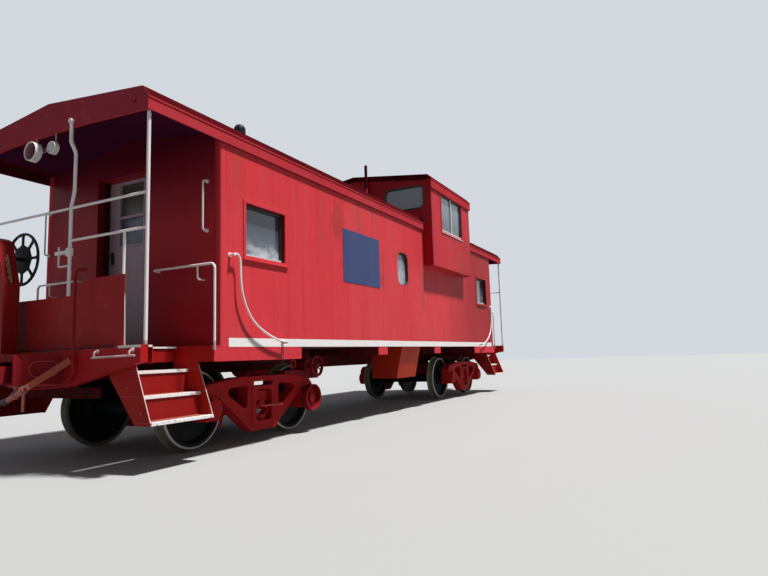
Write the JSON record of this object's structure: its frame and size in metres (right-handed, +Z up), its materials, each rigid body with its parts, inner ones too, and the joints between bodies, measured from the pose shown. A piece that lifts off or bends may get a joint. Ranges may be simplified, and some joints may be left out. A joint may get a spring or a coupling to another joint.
{
  "type": "caboose",
  "caption": "Steel railway caboose with a wide cupola, open end platforms with steps and railings, and two bogie trucks.",
  "frame": {"origin": "middle of the car's length and width, at the lowest point of the wheel flanges", "axes": "+X along the car towards the end nearer the cupola, +Y to the left, +Z up; the end with the brake wheel is at -X"},
  "size_m": [12.45, 3.294, 4.626],
  "materials": {
    "body_red": "weathered gloss",
    "roof_red": "weathered gloss",
    "white": "weathered",
    "black": "satin",
    "cast_red": "weathered",
    "wheel": "rough",
    "door": "faded",
    "sash": "satin"
  },
  "bodies": {
    "car_body": {"air_reservoir": "cast_red", "brake_cylinder": "cast_red", "brake_housing": "cast_red", "cabin_floor": "body_red", "corner_grab_front_left": "white", "corner_grab_front_right": "white", "corner_grab_rear_left": "white", "corner_grab_rear_right": "white", "coupler_front": "cast_red", "coupler_rear": "cast_red", "cupola_bay_left": "body_red", "cupola_bay_right": "body_red", "cupola_end_front": "body_red", "cupola_end_rear": "body_red", "cupola_roof": "roof_red", "end_lamps_front": "white", "end_lamps_rear": "white", "end_wall_front": "body_red", "end_wall_rear": "body_red", "guard_panel_front": "body_red", "guard_panel_rear": "body_red", "main_roof_front": "roof_red", "main_roof_rear": "roof_red", "platform_front": "body_red", "platform_rear": "body_red", "railing_front": "white", "railing_rear": "white", "side_wall_left": "body_red", "side_wall_right": "body_red", "smoke_jack": "black", "steps_front_left": "body_red", "steps_front_right": "body_red", "steps_rear_left": "body_red", "steps_rear_right": "body_red", "underfloor_box_left": "cast_red", "underfloor_box_right": "cast_red", "underframe": "body_red", "vent_pipe": "body_red", "window_left_cupola": "sash", "window_left_front": "sash", "window_left_rear": "sash", "window_right_cupola": "sash", "window_right_front": "sash", "window_right_rear": "sash"},
    "truck_rear": {"truck_rear_bolster": "cast_red", "truck_rear_left_frame": "cast_red", "truck_rear_right_frame": "cast_red", "axle_generator": "cast_red"},
    "truck_front": {"truck_front_bolster": "cast_red", "truck_front_left_frame": "cast_red", "truck_front_right_frame": "cast_red"},
    "wheelset_1": {"wheelset_1": "wheel"},
    "wheelset_2": {"wheelset_2": "wheel", "axle_pulley": "cast_red"},
    "wheelset_3": {"wheelset_3": "wheel"},
    "wheelset_4": {"wheelset_4": "wheel"},
    "door_rear": {"door_rear": "door"},
    "door_front": {"door_front": "door"},
    "brake_wheel": {"brake_wheel": "black"}
  },
  "joints": [
    {"name": "truck_rear_swivel", "type": "hinge", "parent": "car_body", "child": "truck_rear", "pos_m": [-3.509, 0, 0.741], "axis": [0, 0, 1], "range_deg": [-5, 5]},
    {"name": "truck_front_swivel", "type": "hinge", "parent": "car_body", "child": "truck_front", "pos_m": [3.509, 0, 0.741], "axis": [0, 0, 1], "range_deg": [-5, 5]},
    {"name": "wheelset_1_roll", "type": "hinge", "parent": "truck_rear", "child": "wheelset_1", "pos_m": [-4.362, 0, 0.447], "axis": [0, 1, 0], "continuous": true},
    {"name": "wheelset_2_roll", "type": "hinge", "parent": "truck_rear", "child": "wheelset_2", "pos_m": [-2.656, 0, 0.447], "axis": [0, 1, 0], "continuous": true},
    {"name": "wheelset_3_roll", "type": "hinge", "parent": "truck_front", "child": "wheelset_3", "pos_m": [2.656, 0, 0.447], "axis": [0, 1, 0], "continuous": true},
    {"name": "wheelset_4_roll", "type": "hinge", "parent": "truck_front", "child": "wheelset_4", "pos_m": [4.362, 0, 0.447], "axis": [0, 1, 0], "continuous": true},
    {"name": "door_rear_swing", "type": "hinge", "parent": "car_body", "child": "door_rear", "pos_m": [-4.4145, -0.316, 2.1], "axis": [0, 0, 1], "range_deg": [-90, 0]},
    {"name": "door_front_swing", "type": "hinge", "parent": "car_body", "child": "door_front", "pos_m": [4.4145, 0.316, 2.1], "axis": [0, 0, 1], "range_deg": [-90, 0]},
    {"name": "brake_wheel_turn", "type": "hinge", "parent": "car_body", "child": "brake_wheel", "pos_m": [-5.473, 0.47, 2.053], "axis": [1, 0, 0], "continuous": true}
  ]
}
